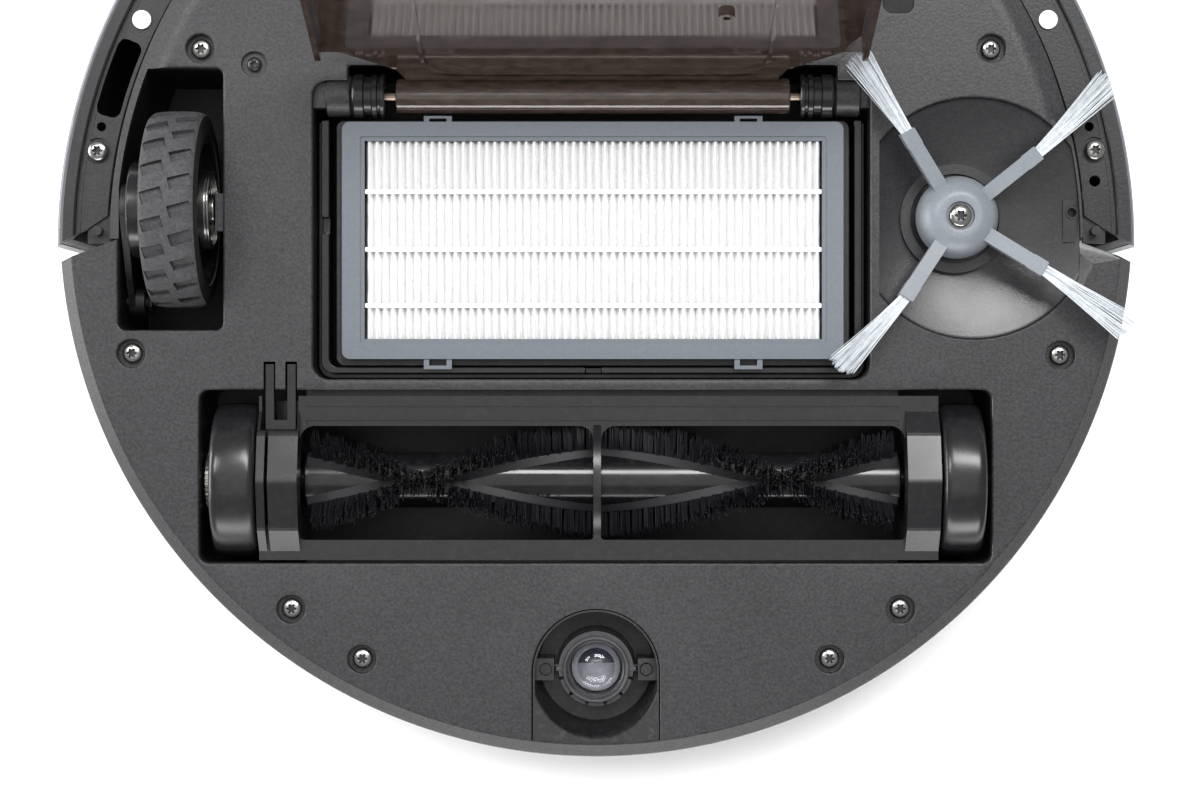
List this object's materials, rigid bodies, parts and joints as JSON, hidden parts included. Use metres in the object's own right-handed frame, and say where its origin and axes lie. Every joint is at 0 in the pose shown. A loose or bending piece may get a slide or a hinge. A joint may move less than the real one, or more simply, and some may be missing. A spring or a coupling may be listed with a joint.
{
  "type": "robot vacuum",
  "caption": "Round robot vacuum on its back: treaded wheel, main brush under its guard, arm-type side brush, pleated filter under a swung-open bin lid, sprung bumper.",
  "frame": {"origin": "centre of the flat top cover's face, which the machine lies on here", "axes": "+Z out of the underside, +Y towards the bumper, +X to the side brush"},
  "size_m": [0.349, 0.34, 0.1531],
  "materials": {
    "charcoal_plastic": "fine-textured matte",
    "black_plastic": "satin",
    "gloss_black": "glossy",
    "silver_strip": "glossy",
    "steel": "bright",
    "dark_steel": "dark",
    "spring_steel": "drawn wire",
    "tyre_rubber": "matte",
    "bristle": "bundled filaments",
    "brush_grey": "satin",
    "nylon": "bundled filaments",
    "filter_grey": "satin",
    "filter_media": "pleated nonwoven",
    "smoke_clear": "smoky clear",
    "lens_glass": "polished",
    "circuit_board": "solder-masked",
    "battery_wrap": "shrink film",
    "white_plug": "satin"
  },
  "bodies": {
    "chassis": {"base_plate": "charcoal_plastic", "wheel_housing": "black_plastic", "brush_housing": "black_plastic", "bin_housing": "black_plastic", "side_wall": "black_plastic", "top_cover": "gloss_black", "case_screw_1": "steel", "case_screw_2": "steel", "case_screw_3": "steel", "case_screw_4": "steel", "case_screw_5": "steel", "case_screw_6": "steel", "case_screw_7": "steel", "case_screw_8": "steel", "small_screw": "dark_steel", "bin_collar": "black_plastic", "dust_bin": "smoke_clear", "hinge_pin": "steel", "damper_left": "black_plastic", "damper_right": "black_plastic", "sensor_deck": "black_plastic", "battery_pack": "battery_wrap", "main_board": "circuit_board", "fan_housing": "black_plastic", "brush_motor": "steel", "side_brush_motor": "steel"},
    "bumper": {"bumper_shell": "black_plastic", "bumper_strip": "silver_strip", "bumper_plug_left": "white_plug", "bumper_plug_right": "white_plug", "bumper_screw_left": "steel", "bumper_screw_right": "steel", "bumper_spring_left": "spring_steel", "bumper_spring_right": "spring_steel"},
    "power_button": {"power_button": "silver_strip"},
    "wheel_arm": {"swing_arm": "black_plastic", "wheel_motor": "black_plastic", "arm_spring": "spring_steel"},
    "drive_wheel": {"tyre": "tyre_rubber", "wheel_rim": "black_plastic", "wheel_axle": "steel"},
    "main_brush": {"brush_core": "black_plastic", "brush_bristles": "bristle"},
    "brush_guard": {"brush_guard": "black_plastic"},
    "guard_latch": {"guard_latch": "black_plastic"},
    "left_drum": {"drum_left": "gloss_black", "drum_gear": "steel"},
    "right_drum": {"drum_right": "gloss_black"},
    "side_brush": {"side_brush": "brush_grey", "side_brush_tuft_1": "nylon", "side_brush_tuft_2": "nylon", "side_brush_tuft_3": "nylon", "side_brush_tuft_4": "nylon", "side_brush_screw": "steel"},
    "lid": {"bin_lid": "smoke_clear"},
    "filter": {"filter_frame": "filter_grey", "filter_pleats": "filter_media"},
    "sensor": {"sensor_barrel": "black_plastic", "sensor_lens": "lens_glass"},
    "fan": {"fan_impeller": "black_plastic"}
  },
  "joints": [
    {"name": "bumper_press", "type": "slide", "parent": "chassis", "child": "bumper", "axis": [0, -1, 0], "range_m": [0, 0.0035], "stiffness_N_per_m": 600, "springref_m": -0.003, "deforming": ["bumper_spring_left", "bumper_spring_right"]},
    {"name": "power_press", "type": "slide", "parent": "chassis", "child": "power_button", "axis": [0, 0, 1], "range_m": [0, 0.001], "stiffness_N_per_m": 800, "springref_m": -0.0005},
    {"name": "wheel_suspension", "type": "hinge", "parent": "chassis", "child": "wheel_arm", "pos_m": [-0.15, -0.026, 0.058], "axis": [1, 0, 0], "range_deg": [-25, 0], "stiffness_Nm_per_rad": 0.8, "springref_deg": 34.38, "deforming": ["arm_spring"]},
    {"name": "wheel_spin", "type": "hinge", "parent": "wheel_arm", "child": "drive_wheel", "pos_m": [-0.1335, 0.0033, 0.071], "axis": [1, 0, 0], "continuous": true},
    {"name": "main_brush_spin", "type": "hinge", "parent": "chassis", "child": "main_brush", "pos_m": [0, -0.0839, 0.063], "axis": [1, 0, 0], "continuous": true},
    {"name": "guard_lift", "type": "slide", "parent": "chassis", "child": "brush_guard", "axis": [0, 0, 1], "range_m": [0, 0.03]},
    {"name": "latch_flex", "type": "hinge", "parent": "brush_guard", "child": "guard_latch", "pos_m": [-0.101, -0.0624, 0.073], "axis": [1, 0, 0], "range_deg": [-5, 5], "stiffness_Nm_per_rad": 0.5},
    {"name": "left_drum_spin", "type": "hinge", "parent": "chassis", "child": "left_drum", "pos_m": [-0.1155, -0.0839, 0.063], "axis": [1, 0, 0], "continuous": true},
    {"name": "right_drum_spin", "type": "hinge", "parent": "chassis", "child": "right_drum", "pos_m": [0.117, -0.0839, 0.063], "axis": [1, 0, 0], "continuous": true},
    {"name": "side_brush_spin", "type": "hinge", "parent": "chassis", "child": "side_brush", "pos_m": [0.1155, 0.0005, 0.076], "axis": [0, 0, 1], "continuous": true, "deforming": ["side_brush_tuft_1", "side_brush_tuft_2", "side_brush_tuft_3", "side_brush_tuft_4"]},
    {"name": "lid_hinge", "type": "hinge", "parent": "chassis", "child": "lid", "pos_m": [0, 0.04, 0.0695], "axis": [-1, 0, 0], "range_deg": [-108, 0]},
    {"name": "filter_lift", "type": "slide", "parent": "chassis", "child": "filter", "axis": [0, 0, 1], "range_m": [0, 0.03]},
    {"name": "sensor_tilt", "type": "hinge", "parent": "chassis", "child": "sensor", "pos_m": [0, -0.1446, 0.06], "axis": [1, 0, 0], "range_deg": [-8, 8], "stiffness_Nm_per_rad": 0.03},
    {"name": "fan_spin", "type": "hinge", "parent": "chassis", "child": "fan", "pos_m": [0.058, -0.1345, 0.034], "axis": [0, 0, 1], "continuous": true}
  ]
}
